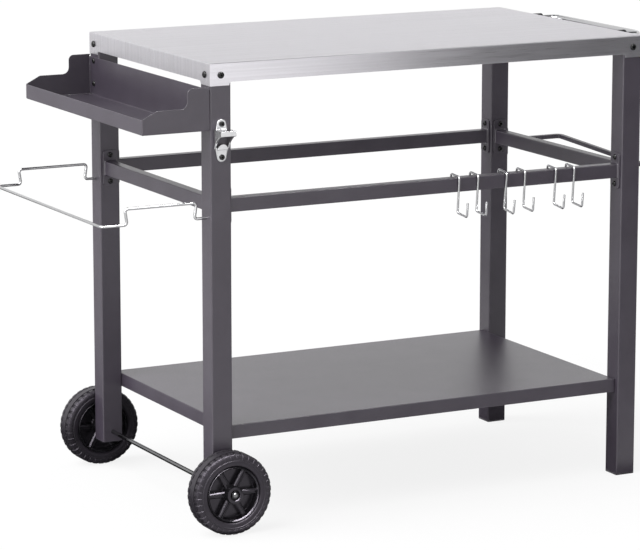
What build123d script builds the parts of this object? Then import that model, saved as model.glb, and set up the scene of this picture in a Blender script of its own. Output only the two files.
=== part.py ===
"""Serving cart for outdoor cooking.

A folded stainless worktop stands on four square-tube legs, tied by four rails and a folded shelf.
Two wheels on a through axle carry the left end. A spice tray, a wire bag ring, a bottle opener,
six sliding hooks, a push handle and a towel bar hang on the frame.
X runs along the cart, from the wheels to the handle, the front faces -Y and Z points up.
The origin is on the floor, under the middle of the cart's bounding box.
"""
import os
from math import cos, radians, sin

from build123d import *

# Worktop: one folded sheet with a skirt, and a deeper tab at each corner
top_length = 850.0
top_width = 500.0
cart_height = 800.0
top_sheet = 1.0
top_fold_radius = 1.5
skirt_height = 32.0
tab_drop = 6.0
tab_width = 36.0
tab_corner = 5.0
top_screw_drop = 20.0

# Legs and their plastic ends
leg_size = 38.0
leg_wall = 1.5
leg_corner = 2.5
leg_inner_corner = 1.0
foot_thickness = 3.0
plug_thickness = 2.0
plug_wall = 2.0
plug_clearance = 0.2
plug_axle_gap = 4.0

# Rails: rectangular tube with a welded plate on each end
rail_drop = 242.0
rail_depth = 20.0
rail_height = 25.0
rail_wall = 1.5
rail_corner = 2.0
rail_inner_corner = 0.5
plate_width = 28.0
plate_height = 64.0
plate_thickness = 2.5
plate_corner = 6.0
plate_screw_spacing = 48.0

# Shelf: one folded sheet between the legs
shelf_level = 178.0
shelf_lip = 24.0
shelf_sheet = 1.2
shelf_inset = 10.0
shelf_fold_radius = 1.6

# Spice tray: folded sheet on the outer faces of the left legs
tray_gap = 1.5
tray_reach = 125.0
tray_side_height = 73.0
tray_back_height = 69.0
tray_shoulder_height = 39.5
tray_front_height = 26.0
tray_ear_depth = 42.0
tray_shoulder_depth = 98.0
tray_sheet = 1.2
tray_ear_radius = 9.0
tray_throat_radius = 12.0
tray_screw_inset = 6.5
tray_screw_spacing = 41.0

# Bag ring: one bent wire with a raised step in each arm
ring_below_rail = 20.5
ring_wire = 5.0
ring_reach = 191.0
ring_socket = 16.0
ring_fit = 0.05
ring_step_rise = 27.0
ring_step_start = 22.0
ring_step_length = 123.0
ring_step_lean = 4.0
ring_bend = 5.0
ring_corner = 9.0

# Bottle opener: cast, with a hood that hangs over a tooth
opener_drop = 129.5
opener_height = 73.0
opener_width = 28.0
opener_plate = 4.0
opener_ear_radius = 9.0
opener_screw_spacing = 56.0
hood_reach = 31.0
hood_top = 19.0
hood_lip_height = 9.0
hood_roof = 4.0
hood_wall = 3.0
hood_lip = 4.0
hood_foot_drop = 14.0
hood_hollow = 4.0
tooth_radius = 9.5
tooth_reach = 5.0
tooth_drop = 15.0

# Hooks: square-bent wire over the front rail, hanging with a small lean
hook_places = (56.0, 94.0, 151.0, 189.0, 252.0, 290.0)
hook_leans = (4.5, 5.0, 8.0, 4.5, 5.5, 5.0)
hook_wire = 4.0
hook_bend = 4.0
hook_seat_gap = 0.3
hook_throat_play = 1.0
hook_stem = 64.0
hook_jaw = 33.0
hook_tip = 25.0
hook_tail = 14.0

# Wheels, axle and their fasteners
wheel_diameter = 142.0
tyre_width = 42.0
tyre_shoulder = 7.0
tyre_leg_gap = 4.0
tyre_fit = 0.05
groove_width = 3.0
groove_depth = 2.5
groove_spacing = 13.0
notch_count = 36
notch_width = 4.0
notch_length = 8.0
rim_diameter = 98.0
rim_width = 36.0
rim_wall = 4.0
web_thickness = 4.0
spoke_count = 6
spoke_width = 7.0
spoke_recess = 5.0
nose_diameter = 30.0
nose_proud = 4.0
axle_diameter = 8.0
axle_fit = 0.05
axle_hole_play = 0.1
leg_below_axle = 18.0
washer_diameter = 18.0
washer_thickness = 1.6
side_play = 0.3
nut_across_flats = 13.0
nut_height = 6.5
nut_room = 1.2
axle_end_proud = 1.0

# Push handle: bent rod on two collars on the right skirt
handle_drop = 13.0
handle_rod = 13.0
handle_span = 290.0
handle_reach = 62.0
handle_bend = 16.0
collar_diameter = 22.0
collar_height = 30.0
handle_screw_grip = 14.0

# Towel bar: bent square bar on a plate on the back right leg
towel_below_rail = 12.0
towel_bar_size = 8.0
towel_reach = 127.0
towel_length = 300.0
towel_droop = 2.8
towel_bend = 9.0
towel_plate_width = 28.0
towel_plate_height = 56.0
towel_plate_thickness = 3.0
towel_screw_spacing = 38.0

# Screws, and the rivet nuts that hold them inside the legs
top_screw = 6.0
frame_screw = 5.0
screw_reach = 11.0
screw_hole_play = 0.3
thread_play = 0.05
head_width_ratio = 1.95
head_height_ratio = 0.55
head_round_ratio = 0.4
socket_width_ratio = 0.6
socket_depth_ratio = 0.3
nut_sleeve_wall = 1.5
nut_collar_wall = 1.4
nut_collar_height = 2.0
nut_length = 10.0
nut_fit = 0.05
drill_overrun = 1.0

# Places that follow from the sizes above
leg_x = top_length / 2 - top_sheet - leg_size / 2
leg_y = top_width / 2 - top_sheet - leg_size / 2
leg_out_x = leg_x + leg_size / 2
leg_out_y = leg_y + leg_size / 2
leg_in_x = leg_x - leg_size / 2
leg_in_y = leg_y - leg_size / 2
leg_top = cart_height - top_sheet
axle_height = wheel_diameter / 2
wheel_leg_end = axle_height - leg_below_axle
plug_depth = leg_below_axle - axle_diameter / 2 - plug_axle_gap
handle_level = cart_height - handle_drop
rail_level = cart_height - rail_drop
ring_level = rail_level - ring_below_rail
opener_level = cart_height - opener_drop
towel_level = rail_level - towel_below_rail
tray_top = cart_height - skirt_height - tab_drop - tray_gap
tray_floor = tray_top - tray_side_height
shelf_screw_level = shelf_level - shelf_lip / 2
wheel_outside = tyre_leg_gap + tyre_width
nose_end = wheel_outside + nose_proud
nut_pocket_depth = nut_height + side_play + axle_end_proud

# The cart is modelled about the worktop's middle and shifted to the middle of its bounding box
left_end = leg_out_x + ring_reach + ring_wire / 2
towel_end = leg_out_x + towel_reach + towel_bar_size / 2
handle_end = top_length / 2 + handle_reach + handle_rod / 2
right_end = max(towel_end, handle_end)
shift_x = (left_end - right_end) / 2

ENDS = (-1, 1)
UP = (Align.CENTER, Align.CENTER, Align.MIN)
DOWN = (Align.CENTER, Align.CENTER, Align.MAX)


def leg_face(end, side, axis, outer, height):
    """A plane on a leg's face, at the middle of its width; outer is 1 or, for an inner face, -1."""
    offset = outer * leg_size / 2
    if axis == "x":
        return Plane((end * (leg_x + offset), side * leg_y, height), z_dir=(end * outer, 0, 0))
    return Plane((end * leg_x, side * (leg_y + offset), height), z_dir=(0, side * outer, 0))


def either_way(level, spacing):
    """Two heights, evenly below and above a level."""
    return (level - spacing / 2, level + spacing / 2)


# Where each group of screws enters the legs
top_spots = [
    leg_face(end, side, axis, 1, cart_height - top_screw_drop)
    for end in ENDS for side in ENDS for axis in "xy"
]
rail_spots = [
    leg_face(end, side, axis, -1, height)
    for end in ENDS for side in ENDS for axis in "xy"
    for height in either_way(rail_level, plate_screw_spacing)
]
shelf_spots = [leg_face(end, side, "x", -1, shelf_screw_level) for end in ENDS for side in ENDS]
tray_screw_level = tray_floor + tray_back_height - tray_screw_inset - tray_screw_spacing / 2
tray_spots = [
    leg_face(-1, side, "x", 1, height)
    for side in ENDS for height in either_way(tray_screw_level, tray_screw_spacing)
]
opener_spots = [
    leg_face(-1, -1, "y", 1, height) for height in either_way(opener_level, opener_screw_spacing)
]
towel_spots = [
    leg_face(1, 1, "x", 1, height) for height in either_way(towel_level, towel_screw_spacing)
]
frame_spots = rail_spots + shelf_spots + tray_spots + opener_spots + towel_spots
handle_spots = [
    Plane((top_length / 2 - top_sheet, side * handle_span / 2, handle_level), z_dir=(-1, 0, 0))
    for side in ENDS
]


def drilled(shape, spots, diameter, depth):
    """Cut a round hole at each spot, to a depth on either side of it and a little past that."""
    length = 2 * (depth + drill_overrun)
    return shape - [Location(spot) * Cylinder(diameter / 2, length) for spot in spots]


def screw(spot, diameter, stack, reach):
    """A button-head screw: reach is its length behind the spot, stack what lies under its head."""
    head_radius = diameter * head_width_ratio / 2
    head_height = diameter * head_height_ratio
    shank = Pos(0, 0, -reach) * Cylinder(diameter / 2, reach + stack, align=UP)
    head = Pos(0, 0, stack) * Cylinder(head_radius, head_height, align=UP)
    head = fillet(head.edges().sort_by(Axis.Z)[-1], diameter * head_round_ratio)
    key = RegularPolygon(diameter * socket_width_ratio / 2, 6)
    socket = extrude(Pos(0, 0, stack + head_height) * key, -diameter * socket_depth_ratio)
    return Location(spot) * (shank + head - socket)


def rivet_nut(spot, diameter):
    """A threaded sleeve set in the leg's wall, with a collar squeezed against the inside."""
    sleeve_radius = diameter / 2 + nut_sleeve_wall
    sleeve = Cylinder(sleeve_radius, nut_length, align=DOWN)
    collar_place = Pos(0, 0, -leg_wall)
    collar = collar_place * Cylinder(sleeve_radius + nut_collar_wall, nut_collar_height, align=DOWN)
    bore = Cylinder(diameter / 2 + thread_play, 3 * nut_length)
    return Location(spot) * (sleeve + collar - bore)


def nut_hole(diameter):
    """The hole in a leg's wall that a rivet nut sits in."""
    return diameter + 2 * nut_sleeve_wall + 2 * nut_fit


def make_worktop():
    """Folded stainless sheet: top, skirts and the deeper corner tabs."""
    depth = skirt_height + tab_drop
    shell = Pos(0, 0, cart_height) * Box(top_length, top_width, depth, align=DOWN)
    bottom = shell.faces().sort_by(Axis.Z)[0]
    folds = [edge for edge in shell.edges() if edge not in bottom.edges()]
    shell = fillet(folds, top_fold_radius)
    hollow = Box(top_length - 2 * top_sheet, top_width - 2 * top_sheet, depth, align=DOWN)
    shell = shell - Pos(0, 0, leg_top) * hollow
    skirt_end = cart_height - skirt_height
    for length, width, axis in (
        (top_length - 2 * tab_width, 2 * top_width, Axis.Y),
        (2 * top_length, top_width - 2 * tab_width, Axis.X),
    ):
        notch = Box(length, width, 2 * (tab_drop + tab_corner), align=DOWN)
        ridges = notch.edges().filter_by(axis).group_by(Axis.Z)[-1]
        shell = shell - Pos(0, 0, skirt_end) * fillet(ridges, tab_corner)
    shell = drilled(shell, top_spots, top_screw + 2 * screw_hole_play, top_sheet)
    return drilled(shell, handle_spots, top_screw + 2 * screw_hole_play, top_sheet)


def square_tube(width, depth, wall, corner, inner_corner, length):
    """A rounded rectangular tube along Z, from the XY plane up."""
    outside = RectangleRounded(width, depth, corner)
    inside = RectangleRounded(width - 2 * wall, depth - 2 * wall, inner_corner)
    return extrude(outside - inside, length)


def make_leg(end, side):
    """One leg: the left pair stops short above the floor and carries the axle."""
    bottom = wheel_leg_end if end < 0 else foot_thickness
    tube = square_tube(leg_size, leg_size, leg_wall, leg_corner, leg_inner_corner, leg_top - bottom)
    tube = Pos(end * leg_x, side * leg_y, bottom) * tube
    for spots, diameter in ((top_spots, top_screw), (frame_spots, frame_screw)):
        own = [spot for spot in spots if spot.origin.X * end > 0 and spot.origin.Y * side > 0]
        tube = drilled(tube, own, nut_hole(diameter), leg_wall)
    if end < 0:
        axle_hole = Cylinder(axle_diameter / 2 + axle_hole_play, 2 * leg_size)
        tube = tube - Pos(-leg_x, side * leg_y, axle_height) * Rot(90, 0, 0) * axle_hole
        socket = Cylinder(ring_wire / 2 + ring_fit, leg_size)
        tube = tube - Pos(-leg_out_x, side * leg_y, ring_level) * Rot(0, 90, 0) * socket
    return tube


def make_leg_end(end, side, thickness, bottom):
    """A plastic end for a leg: a flat flange and a hollow stub that fits inside the tube."""
    flange = extrude(RectangleRounded(leg_size, leg_size, leg_corner), thickness)
    stub_size = leg_size - 2 * leg_wall - 2 * plug_clearance
    stub = square_tube(stub_size, stub_size, plug_wall, leg_inner_corner, leg_inner_corner, plug_depth)
    return Pos(end * leg_x, side * leg_y, bottom) * (flange + Pos(0, 0, thickness) * stub)


def make_rail(length):
    """A rail along X between two leg faces, with its end plates."""
    tube = square_tube(rail_height, rail_depth, rail_wall, rail_corner, rail_inner_corner, length)
    rail = Pos(-length / 2, 0, 0) * Rot(0, 90, 0) * tube
    window = Rectangle(rail_height - rail_wall, rail_depth - rail_wall)
    plate = extrude(RectangleRounded(plate_height, plate_width, plate_corner) - window, plate_thickness)
    for place in (-length / 2, length / 2 - plate_thickness):
        rail = rail + Pos(place, 0, 0) * Rot(0, 90, 0) * plate
    return rail


def place_rail(axis, side):
    """A rail in its place: along X at the front or back, along Y at the left or right."""
    if axis == "x":
        rail = Pos(0, side * leg_y, rail_level) * make_rail(2 * leg_in_x)
    else:
        rail = Pos(side * leg_x, 0, rail_level) * Rot(0, 0, 90) * make_rail(2 * leg_in_y)
    return drilled(rail, rail_spots, frame_screw + 2 * screw_hole_play, plate_thickness)


def make_shelf():
    """Folded sheet with a lip all round, bolted through its end lips to the legs."""
    length = 2 * leg_in_x
    width = 2 * (leg_out_y - shelf_inset)
    shell = Pos(0, 0, shelf_level) * Box(length, width, shelf_lip, align=DOWN)
    ridges = shell.edges().group_by(Axis.Z)[-1]
    shell = fillet(ridges, shelf_fold_radius)
    hollow = Box(length - 2 * shelf_sheet, width - 2 * shelf_sheet, shelf_lip, align=DOWN)
    shell = shell - Pos(0, 0, shelf_level - shelf_sheet) * hollow
    return drilled(shell, shelf_spots, frame_screw + 2 * screw_hole_play, shelf_sheet)


def make_spice_tray():
    """Open tray: floor, low front, stepped sides and a tall back screwed to the legs."""
    width = 2 * leg_out_y
    outline = Polyline(
        (0, 0),
        (-tray_reach, 0),
        (-tray_reach, tray_front_height),
        (-tray_shoulder_depth, tray_shoulder_height),
        (-tray_ear_depth, tray_shoulder_height),
        (-tray_ear_depth, tray_side_height),
        (0, tray_side_height),
        close=True,
    )
    panel = make_face(Plane.XZ * outline)
    step = panel.vertices().filter_by_position(Axis.X, -tray_ear_depth - 1, -tray_ear_depth + 1)
    panel = fillet(step.sort_by(Axis.Z)[0], tray_throat_radius)
    step = panel.vertices().sort_by(lambda corner: corner.Z + corner.X / tray_reach)
    ear = [corner for corner in step if abs(corner.X + tray_ear_depth) < 1][-1]
    panel = fillet(ear, tray_ear_radius)
    side_panel = extrude(panel, tray_sheet, dir=(0, 1, 0))
    tray = Pos(0, -width / 2, 0) * side_panel + Pos(0, width / 2 - tray_sheet, 0) * side_panel
    at_wall = (Align.MAX, Align.CENTER, Align.MIN)
    tray = tray + Box(tray_reach, width, tray_sheet, align=at_wall)
    tray = tray + Box(tray_sheet, width, tray_back_height, align=at_wall)
    front = Box(tray_sheet, width, tray_front_height, align=at_wall)
    tray = tray + Pos(tray_sheet - tray_reach, 0, 0) * front
    tray = Pos(-leg_out_x, 0, tray_floor) * tray
    return drilled(tray, tray_spots, frame_screw + 2 * screw_hole_play, tray_sheet)


def round_sweep(route, diameter):
    """A round wire or rod along a route."""
    return sweep(Plane(route @ 0, z_dir=route % 0) * Circle(diameter / 2), path=route)


def make_bag_ring():
    """Bent wire: two stepped arms that plug into the left legs, joined by a crossbar."""
    tip = -leg_out_x - ring_reach
    near = -leg_out_x - ring_step_start
    far = near - ring_step_length
    arm = [
        (-leg_out_x + ring_socket, 0),
        (near, 0),
        (near + ring_step_lean, ring_step_rise),
        (far - ring_step_lean, ring_step_rise),
        (far, 0),
        (tip, 0),
    ]
    back = [(x, leg_y, ring_level + rise) for x, rise in arm]
    front = [(x, -leg_y, ring_level + rise) for x, rise in reversed(arm)]
    bends = [ring_bend] * 4
    route = FilletPolyline(*back, *front, radius=bends + [ring_corner] * 2 + bends)
    return round_sweep(route, ring_wire)


def make_bottle_opener():
    """Cast opener: an eared plate with a window, a hood open at its underside and a tooth below it."""
    ear_place = opener_height / 2 - opener_ear_radius
    ears = [Pos(0, z) * Circle(opener_ear_radius) for z in (-ear_place, ear_place)]
    middle = Circle(opener_width / 2)
    plate = extrude(make_hull((ears[0] + ears[1] + middle).edges()), opener_plate)
    wall_foot = Vector(opener_plate, -hood_foot_drop)
    lip_foot = Vector(hood_reach, hood_top - hood_lip_height)
    slope = (wall_foot - lip_foot).normalized()
    hollow = (wall_foot + lip_foot) / 2 + Vector(slope.Y, -slope.X) * hood_hollow
    outline = Polyline(wall_foot, (0, -hood_foot_drop), (0, hood_top), (hood_reach, hood_top), lip_foot)
    outline = outline + ThreePointArc(lip_foot, hollow, wall_foot)
    hood = extrude(make_face(outline), opener_width / 2, both=True)
    mouth_depth = hood_reach - hood_lip - opener_plate
    mouth_height = hood_top - hood_roof + 2 * hood_foot_drop
    mouth_width = opener_width - 2 * hood_wall
    mouth = Box(mouth_depth, mouth_height, mouth_width, align=(Align.MIN, Align.MAX, Align.CENTER))
    hood = hood - Pos(opener_plate, hood_top - hood_roof, 0) * mouth
    upper_half = Rectangle(2 * tooth_radius, tooth_radius, align=(Align.CENTER, Align.MIN))
    tooth = extrude(Pos(0, -tooth_drop) * (Circle(tooth_radius) & upper_half), opener_plate + tooth_reach)
    face = leg_face(-1, -1, "y", 1, opener_level)
    wall = Plane(face.origin, x_dir=(1, 0, 0), z_dir=face.z_dir)
    window_foot = hood_foot_drop - hood_wall
    window_height = hood_top - hood_roof + window_foot
    window = Box(mouth_width, window_height, 3 * opener_plate, align=(Align.CENTER, Align.MIN, Align.CENTER))
    opener = plate + Rot(0, -90, 0) * hood - Pos(0, -window_foot) * window + tooth
    opener = Location(wall) * opener
    return drilled(opener, opener_spots, frame_screw + 2 * screw_hole_play, opener_plate)


def make_hook(place, lean):
    """One hook in its own upright plane, leaning on the rail's front edges by a small gap."""
    reach = hook_wire / 2 + hook_seat_gap
    front = -leg_y - rail_depth / 2
    across = Vector(0, cos(radians(lean)), sin(radians(lean)))
    upward = Vector(0, -sin(radians(lean)), cos(radians(lean)))
    lower_edge = Vector(place, front, rail_level - rail_height / 2)
    upper_edge = Vector(place, front, rail_level + rail_height / 2)
    corner = Vector(place, 0, 0)
    corner = corner + across * (lower_edge.dot(across) - reach) + upward * (upper_edge.dot(upward) + reach)
    steepest = radians(max(hook_leans))
    throat = rail_depth * cos(steepest) + rail_height * sin(steepest) + 2 * reach + hook_throat_play
    corners = [
        corner + across * throat - upward * hook_tail,
        corner + across * throat,
        corner,
        corner - upward * hook_stem,
        corner - upward * hook_stem - across * hook_jaw,
        corner - upward * (hook_stem - hook_tip) - across * hook_jaw,
    ]
    route = FilletPolyline(*corners, radius=hook_bend)
    return round_sweep(route, hook_wire)


def along_axle(side):
    """The place of a wheel's parts: Z outwards from the outer face of the leg."""
    return Location(Plane((-leg_x, side * leg_out_y, axle_height), x_dir=(1, 0, 0), z_dir=(0, side, 0)))


def make_hub(side):
    """Moulded wheel centre: rim, web, spokes on both faces and a nose with a pocket for the nut."""
    middle = tyre_leg_gap + tyre_width / 2
    rim_radius = rim_diameter / 2
    rim = Cylinder(rim_radius, rim_width) - Cylinder(rim_radius - rim_wall, rim_width)
    web = Cylinder(rim_radius - rim_wall / 2, web_thickness)
    spoke_length = rim_radius - rim_wall / 2
    at_centre = (Align.MIN, Align.CENTER, Align.CENTER)
    spoke = Box(spoke_length, spoke_width, rim_width - 2 * spoke_recess, align=at_centre)
    spokes = [Rot(0, 0, turn * 360 / spoke_count) * spoke for turn in range(spoke_count)]
    hub = Pos(0, 0, middle) * (rim + web + spokes)
    boss_start = washer_thickness + side_play
    hub = hub + Pos(0, 0, boss_start) * Cylinder(nose_diameter / 2, nose_end - boss_start, align=UP)
    pocket_radius = nut_across_flats / 2 / cos(radians(30)) + nut_room
    hub = hub - Pos(0, 0, nose_end) * Cylinder(pocket_radius, nut_pocket_depth, align=DOWN)
    hub = hub - Cylinder(axle_diameter / 2 + axle_fit, 3 * nose_end)
    return along_axle(side) * hub


def make_tyre(side):
    """Solid rubber tyre with rounded shoulders, two grooves and notched shoulders."""
    radius = wheel_diameter / 2
    seat = Cylinder(rim_diameter / 2 + tyre_fit, 2 * tyre_width)
    body = fillet(Cylinder(radius, tyre_width).edges().filter_by(GeomType.CIRCLE), tyre_shoulder)
    ring = Cylinder(radius + groove_depth, groove_width) - Cylinder(radius - groove_depth, groove_width)
    grooves = [Pos(0, 0, place) * ring for place in (-groove_spacing / 2, groove_spacing / 2)]
    notch = Box(2 * groove_depth, notch_width, notch_length)
    notch_pair = [Pos(radius - tyre_shoulder / 4, 0, end * tyre_width / 2) * notch for end in ENDS]
    turns = [Rot(0, 0, (turn + 0.5) * 360 / notch_count) for turn in range(notch_count)]
    notches = [turn * notch for turn in turns for notch in notch_pair]
    tyre = body - seat - grooves - notches
    return along_axle(side) * Pos(0, 0, tyre_leg_gap + tyre_width / 2) * tyre


def make_axle():
    """Plain steel rod through both left legs and both wheels."""
    end = leg_out_y + nose_end
    return Pos(-leg_x, 0, axle_height) * Rot(90, 0, 0) * Cylinder(axle_diameter / 2, 2 * end)


def make_washer(side):
    """Flat washer between a leg and its wheel."""
    washer = Cylinder(washer_diameter / 2, washer_thickness, align=UP)
    return along_axle(side) * (washer - Cylinder(axle_diameter / 2 + axle_fit, 3 * washer_thickness))


def make_axle_nut(side):
    """Hexagon nut in the pocket of a wheel's nose."""
    hexagon = RegularPolygon(nut_across_flats / 2, 6, major_radius=False)
    nut = extrude(hexagon - Circle(axle_diameter / 2 + axle_fit), nut_height)
    return along_axle(side) * Pos(0, 0, nose_end - nut_pocket_depth + side_play) * nut


def make_push_handle():
    """Bent rod that stands out from the right skirt on two collars."""
    start = top_length / 2 + collar_height
    out = top_length / 2 + handle_reach
    half = handle_span / 2
    route = FilletPolyline(
        (start, half, handle_level),
        (out, half, handle_level),
        (out, -half, handle_level),
        (start, -half, handle_level),
        radius=handle_bend,
    )
    rod = round_sweep(route, handle_rod)
    thread = top_screw + 2 * thread_play
    return drilled(rod, handle_spots, thread, top_sheet + collar_height + handle_screw_grip)


def make_handle_collar(side):
    """Plastic collar between the skirt and an end of the handle."""
    collar = Cylinder(collar_diameter / 2, collar_height, align=UP)
    collar = collar - Cylinder(top_screw / 2 + screw_hole_play, 3 * collar_height)
    wall = Plane((top_length / 2, side * handle_span / 2, handle_level), z_dir=(1, 0, 0))
    return Location(wall) * collar


def make_towel_bar():
    """Square bar bent once, on a plate on the back right leg; its free end hangs a little lower."""
    plate_face = RectangleRounded(towel_plate_width, towel_plate_height, plate_corner)
    plate = extrude(plate_face, towel_plate_thickness)
    face = leg_face(1, 1, "x", 1, towel_level)
    upright = Plane(face.origin, x_dir=(0, 1, 0), z_dir=face.z_dir)
    run = Vector(0, -cos(radians(towel_droop)), -sin(radians(towel_droop))) * towel_length
    root = face.origin + Vector(towel_plate_thickness / 2, 0, 0)
    bend = face.origin + Vector(towel_reach, 0, 0)
    route = FilletPolyline(root, bend, bend + run, radius=towel_bend)
    square = Rectangle(towel_bar_size, towel_bar_size)
    section = Plane(root, x_dir=run.normalized(), z_dir=(1, 0, 0)) * square
    bar = Location(upright) * plate + sweep(section, path=route)
    return drilled(bar, towel_spots, frame_screw + 2 * screw_hole_play, towel_plate_thickness)


def sides(make):
    """The front and back copies of a piece, as one group."""
    return Compound([make(side) for side in ENDS])


def screws(spots, diameter, stack, reach=screw_reach):
    """A group of like screws."""
    return Compound([screw(spot, diameter, stack, reach) for spot in spots])


handle_grip = top_sheet + collar_height + handle_screw_grip
pieces = {
    "worktop": make_worktop(),
    "leg_front_left": make_leg(-1, -1),
    "leg_front_right": make_leg(1, -1),
    "leg_back_left": make_leg(-1, 1),
    "leg_back_right": make_leg(1, 1),
    "foot_caps": Compound([make_leg_end(1, side, foot_thickness, 0) for side in ENDS]),
    "leg_plugs": Compound(
        [make_leg_end(-1, side, plug_thickness, wheel_leg_end - plug_thickness) for side in ENDS]
    ),
    "rail_front": place_rail("x", -1),
    "rail_back": place_rail("x", 1),
    "rail_left": place_rail("y", -1),
    "rail_right": place_rail("y", 1),
    "shelf": make_shelf(),
    "spice_tray": make_spice_tray(),
    "bag_ring": make_bag_ring(),
    "bottle_opener": make_bottle_opener(),
    "front_hub": make_hub(-1),
    "back_hub": make_hub(1),
    "front_tyre": make_tyre(-1),
    "back_tyre": make_tyre(1),
    "axle": make_axle(),
    "axle_washers": sides(make_washer),
    "axle_nuts": sides(make_axle_nut),
    "push_handle": make_push_handle(),
    "handle_collars": sides(make_handle_collar),
    "towel_bar": make_towel_bar(),
    "worktop_screws": screws(top_spots, top_screw, top_sheet),
    "rail_screws": screws(rail_spots, frame_screw, plate_thickness),
    "shelf_screws": screws(shelf_spots, frame_screw, shelf_sheet),
    "tray_screws": screws(tray_spots, frame_screw, tray_sheet),
    "opener_screws": screws(opener_spots, frame_screw, opener_plate),
    "towel_bar_screws": screws(towel_spots, frame_screw, towel_plate_thickness),
    "handle_screws": screws(handle_spots, top_screw, 0, handle_grip),
    "worktop_rivet_nuts": Compound([rivet_nut(spot, top_screw) for spot in top_spots]),
    "frame_rivet_nuts": Compound([rivet_nut(spot, frame_screw) for spot in frame_spots]),
}
for number, (place, lean) in enumerate(zip(hook_places, hook_leans), start=1):
    pieces[f"hook_{number}"] = make_hook(place, lean)

os.makedirs("parts", exist_ok=True)
for name, shape in pieces.items():
    export_step(Pos(shift_x, 0, 0) * shape, f"parts/{name}.step")
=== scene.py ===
"""Looks of an outdoor serving cart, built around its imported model. Metres, +Z up, front at -Y."""

from math import copysign, cos, pi, radians, sin, tan

import bmesh
import bpy
from bmesh.types import BMEdge, BMFace, BMVert
from mathutils import Matrix, Vector


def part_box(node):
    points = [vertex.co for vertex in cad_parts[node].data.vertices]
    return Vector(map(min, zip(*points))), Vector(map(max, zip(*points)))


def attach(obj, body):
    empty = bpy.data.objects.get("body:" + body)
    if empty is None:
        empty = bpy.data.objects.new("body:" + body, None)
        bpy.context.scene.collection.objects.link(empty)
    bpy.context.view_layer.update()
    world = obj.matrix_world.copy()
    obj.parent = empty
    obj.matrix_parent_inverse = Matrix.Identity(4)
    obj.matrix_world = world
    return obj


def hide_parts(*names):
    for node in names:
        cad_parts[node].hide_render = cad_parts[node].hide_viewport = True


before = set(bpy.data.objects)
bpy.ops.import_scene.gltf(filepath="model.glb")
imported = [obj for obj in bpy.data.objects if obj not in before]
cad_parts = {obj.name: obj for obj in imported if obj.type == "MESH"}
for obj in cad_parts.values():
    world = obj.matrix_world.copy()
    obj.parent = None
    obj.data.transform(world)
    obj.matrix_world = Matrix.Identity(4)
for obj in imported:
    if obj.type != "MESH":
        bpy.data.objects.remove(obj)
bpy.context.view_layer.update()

# Legs: four lengths of square steel tube, powder coated charcoal.
# The left pair stops short of the floor and carries the axle, the right pair stands on plastic feet.
leg_wall = 0.0015
leg_corner = 0.0025
leg_edge = 0.0003
corner_steps = 4
edge_steps = 2
along_limit = 0.999
facing_limit = 0.5
noise_range = {"From Min": 0.3, "From Max": 0.7}
mottle_share = 0.02
coat_dark = (0.044, 0.0348, 0.0505, 1)
coat_light = (0.056, 0.0462, 0.0645, 1)
# The coat's edge colour: thin coat on the edges, and a painted highlight on the rims and rounded corners
coat_thin_and_highlit = (0.24, 0.23, 0.25, 1)


def put(tree, kind, inputs=None, **settings):
    """Add a node; its inputs are plain values or the outputs of other nodes."""
    node = tree.nodes.new(kind)
    for name, value in settings.items():
        setattr(node, name, value)
    for name, value in (inputs or {}).items():
        if isinstance(value, bpy.types.NodeSocket):
            tree.links.new(value, node.inputs[name])
        else:
            node.inputs[name].default_value = value
    return node


def reckoned(tree, operation, first, second, **settings):
    """The result of a Math node."""
    return put(tree, "ShaderNodeMath", {0: first, 1: second}, operation=operation, **settings).outputs[0]


def new_group(name, inputs, outputs):
    """Start a node group; returns it, the sockets it is given and the node that takes its results."""
    group = bpy.data.node_groups.new(name, "ShaderNodeTree")
    for side, sockets in (("INPUT", inputs), ("OUTPUT", outputs)):
        for socket, kind in sockets.items():
            group.interface.new_socket(socket, in_out=side, socket_type="NodeSocket" + kind)
    return group, put(group, "NodeGroupInput").outputs, put(group, "NodeGroupOutput").inputs


def stretched_noise(tree, place, scale, detail):
    """Noise stretched to run from 0 to 1."""
    noise = put(tree, "ShaderNodeTexNoise", {"Vector": place, "Scale": scale, "Detail": detail})
    return put(tree, "ShaderNodeMapRange", {"Value": noise.outputs["Fac"], **noise_range}).outputs["Result"]


fine_grain, given, result = new_group(
    "fine_grain", {"Vector": "Vector", "Scale": "Float"}, {"Grain": "Float", "Mottle": "Float"}
)
broad = reckoned(fine_grain, "MULTIPLY", given["Scale"], mottle_share)
for output, scale, detail in (("Grain", given["Scale"], 2.0), ("Mottle", broad, 4.0)):
    fine_grain.links.new(stretched_noise(fine_grain, given["Vector"], scale, detail), result[output])

# Edge mask from the Bevel node: the finishes turn paler along every edge and corner with it, partly wear and
# partly a painted highlight
worn_and_highlit_edges, given, result = new_group(
    "worn_and_highlit_edges", {"Radius": "Float", "Gain": "Float"}, {"Edge": "Float"}
)
eased = put(worn_and_highlit_edges, "ShaderNodeBevel", {"Radius": given["Radius"]}, samples=4).outputs["Normal"]
plain = put(worn_and_highlit_edges, "ShaderNodeNewGeometry").outputs["Normal"]
agree = put(worn_and_highlit_edges, "ShaderNodeVectorMath", {0: eased, 1: plain}, operation="DOT_PRODUCT")
bent = reckoned(worn_and_highlit_edges, "SUBTRACT", 1.0, agree.outputs["Value"])
edge = reckoned(worn_and_highlit_edges, "MULTIPLY", bent, given["Gain"], use_clamp=True)
worn_and_highlit_edges.links.new(edge, result["Edge"])


def new_finish(name, constants):
    """Start a material; constants are set on its shader's own sockets."""
    finish = bpy.data.materials.new(name)
    finish.use_nodes = True
    sockets = finish.node_tree.nodes["Principled BSDF"].inputs
    for socket, value in constants.items():
        sockets[socket].default_value = value
    return finish, finish.node_tree, sockets


def mixed(tree, share, first, second):
    """Mix two colours by a share; 6 and 7 are the Mix node's colours and 2 its mixed colour."""
    return put(tree, "ShaderNodeMix", {0: share, 6: first, 7: second}, data_type="RGBA").outputs[2]


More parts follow.
